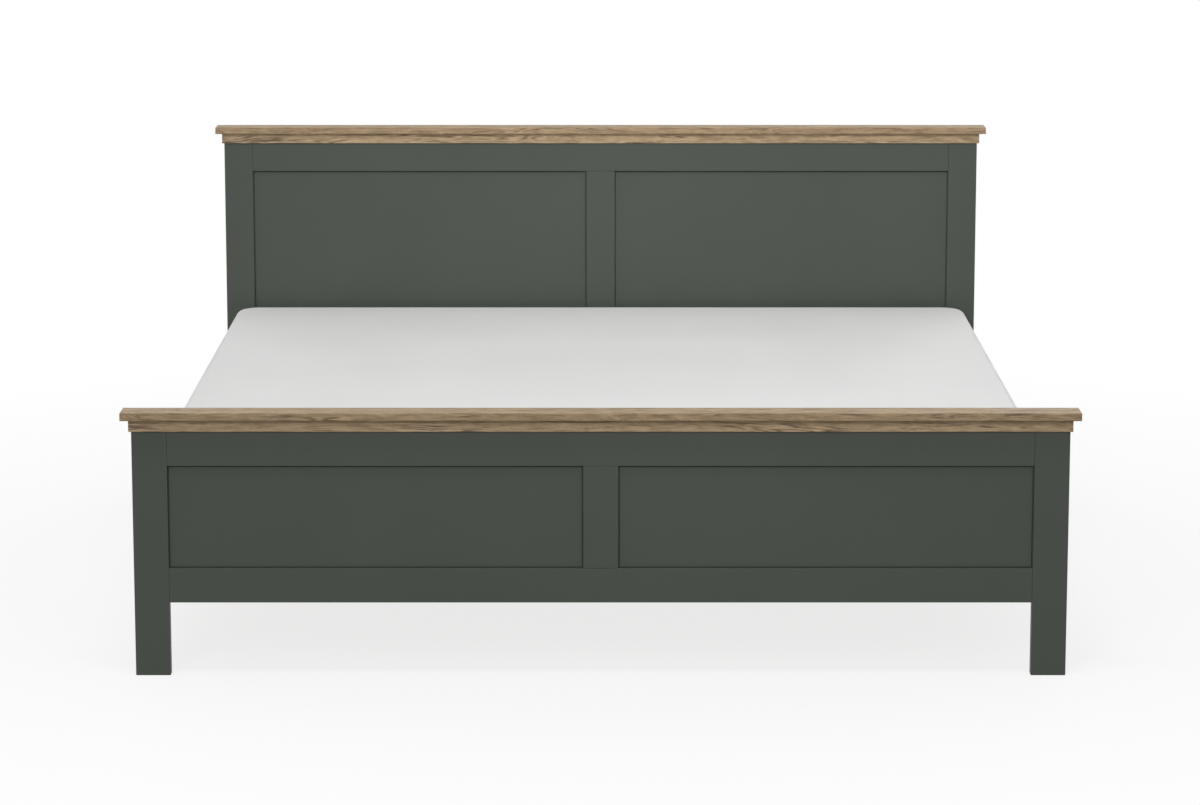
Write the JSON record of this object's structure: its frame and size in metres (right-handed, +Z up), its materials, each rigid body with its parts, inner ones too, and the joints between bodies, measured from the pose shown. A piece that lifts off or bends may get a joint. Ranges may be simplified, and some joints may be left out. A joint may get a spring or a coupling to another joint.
{
  "type": "storage bed",
  "caption": "Double bed with framed headboard and footboard, oak-look caps, side rails, and a slatted platform with mattress that lifts at the foot end over bedding bays.",
  "frame": {"origin": "on the floor, under the middle of the bed", "axes": "+X to the right seen from the foot end, +Y towards the headboard, +Z up"},
  "size_m": [1.91, 2.132, 0.874],
  "materials": {
    "green_lacquer": "satin grey-green lacquer on board",
    "oak_decor": "matt oak-look decor",
    "pine": "planed bare pine",
    "hardboard": "smooth hardboard",
    "black_steel": "black powder coat",
    "zinc_steel": "zinc plated",
    "rod_chrome": "polished rod",
    "mattress_ticking": "plain white ticking",
    "strap_webbing": "woven webbing"
  },
  "bodies": {
    "frame": {"footboard_left_post": "green_lacquer", "footboard_right_post": "green_lacquer", "footboard_top_rail": "green_lacquer", "footboard_lower_rail": "green_lacquer", "footboard_centre_stile": "green_lacquer", "footboard_left_panel": "green_lacquer", "footboard_right_panel": "green_lacquer", "footboard_moulding": "oak_decor", "footboard_cap": "oak_decor", "headboard_left_post": "green_lacquer", "headboard_right_post": "green_lacquer", "headboard_top_rail": "green_lacquer", "headboard_lower_rail": "green_lacquer", "headboard_centre_stile": "green_lacquer", "headboard_left_panel": "green_lacquer", "headboard_right_panel": "green_lacquer", "headboard_moulding": "oak_decor", "headboard_cap": "oak_decor", "left_side_rail": "green_lacquer", "right_side_rail": "green_lacquer", "corner_bracket_foot_left": "zinc_steel", "corner_bracket_foot_right": "zinc_steel", "corner_bracket_head_left": "zinc_steel", "corner_bracket_head_right": "zinc_steel", "floor_bearer": "pine", "centre_divider": "pine", "storage_floor_left": "hardboard", "storage_floor_right": "hardboard", "bearer_bracket_foot": "zinc_steel", "bearer_bracket_head": "zinc_steel", "centre_leg_1": "pine", "centre_leg_2": "pine", "lift_base_plate_left": "black_steel", "lift_base_plate_right": "black_steel"},
    "platform": {"platform_tube_left": "black_steel", "platform_tube_right": "black_steel", "platform_tube_foot": "black_steel", "platform_tube_head": "black_steel", "platform_tube_centre": "black_steel", "slat_01": "pine", "slat_02": "pine", "slat_03": "pine", "slat_04": "pine", "slat_05": "pine", "slat_06": "pine", "slat_07": "pine", "slat_08": "pine", "slat_09": "pine", "slat_10": "pine", "slat_11": "pine", "mattress": "mattress_ticking", "mattress_stop": "black_steel", "pull_strap": "strap_webbing", "lift_arm_left": "black_steel", "lift_arm_right": "black_steel"},
    "left_cylinder": {"strut_cylinder_left": "black_steel"},
    "left_rod": {"strut_rod_left": "rod_chrome"},
    "right_cylinder": {"strut_cylinder_right": "black_steel"},
    "right_rod": {"strut_rod_right": "rod_chrome"}
  },
  "joints": [
    {"name": "platform_lift", "type": "hinge", "parent": "frame", "child": "platform", "pos_m": [0, 0.845, 0.343], "axis": [-1, 0, 0], "range_deg": [0, 35]},
    {"name": "left_strut_swing", "type": "hinge", "parent": "frame", "child": "left_cylinder", "pos_m": [-0.859, 0.845, 0.19], "axis": [-1, 0, 0], "range_deg": [0, 29.2]},
    {"name": "left_strut_extension", "type": "slide", "parent": "left_cylinder", "child": "left_rod", "axis": [0, -0.9848, 0.174], "range_m": [0, 0.086]},
    {"name": "right_strut_swing", "type": "hinge", "parent": "frame", "child": "right_cylinder", "pos_m": [0.859, 0.845, 0.19], "axis": [-1, 0, 0], "range_deg": [0, 29.2]},
    {"name": "right_strut_extension", "type": "slide", "parent": "right_cylinder", "child": "right_rod", "axis": [0, -0.9848, 0.174], "range_m": [0, 0.086]}
  ],
  "couplings": [
    {"joint": "left_strut_swing", "follows": "platform_lift", "ratio": 0.8327},
    {"joint": "left_strut_extension", "follows": "platform_lift", "m_per_rad": 0.14024},
    {"joint": "right_strut_swing", "follows": "platform_lift", "ratio": 0.8327},
    {"joint": "right_strut_extension", "follows": "platform_lift", "m_per_rad": 0.14024}
  ]
}
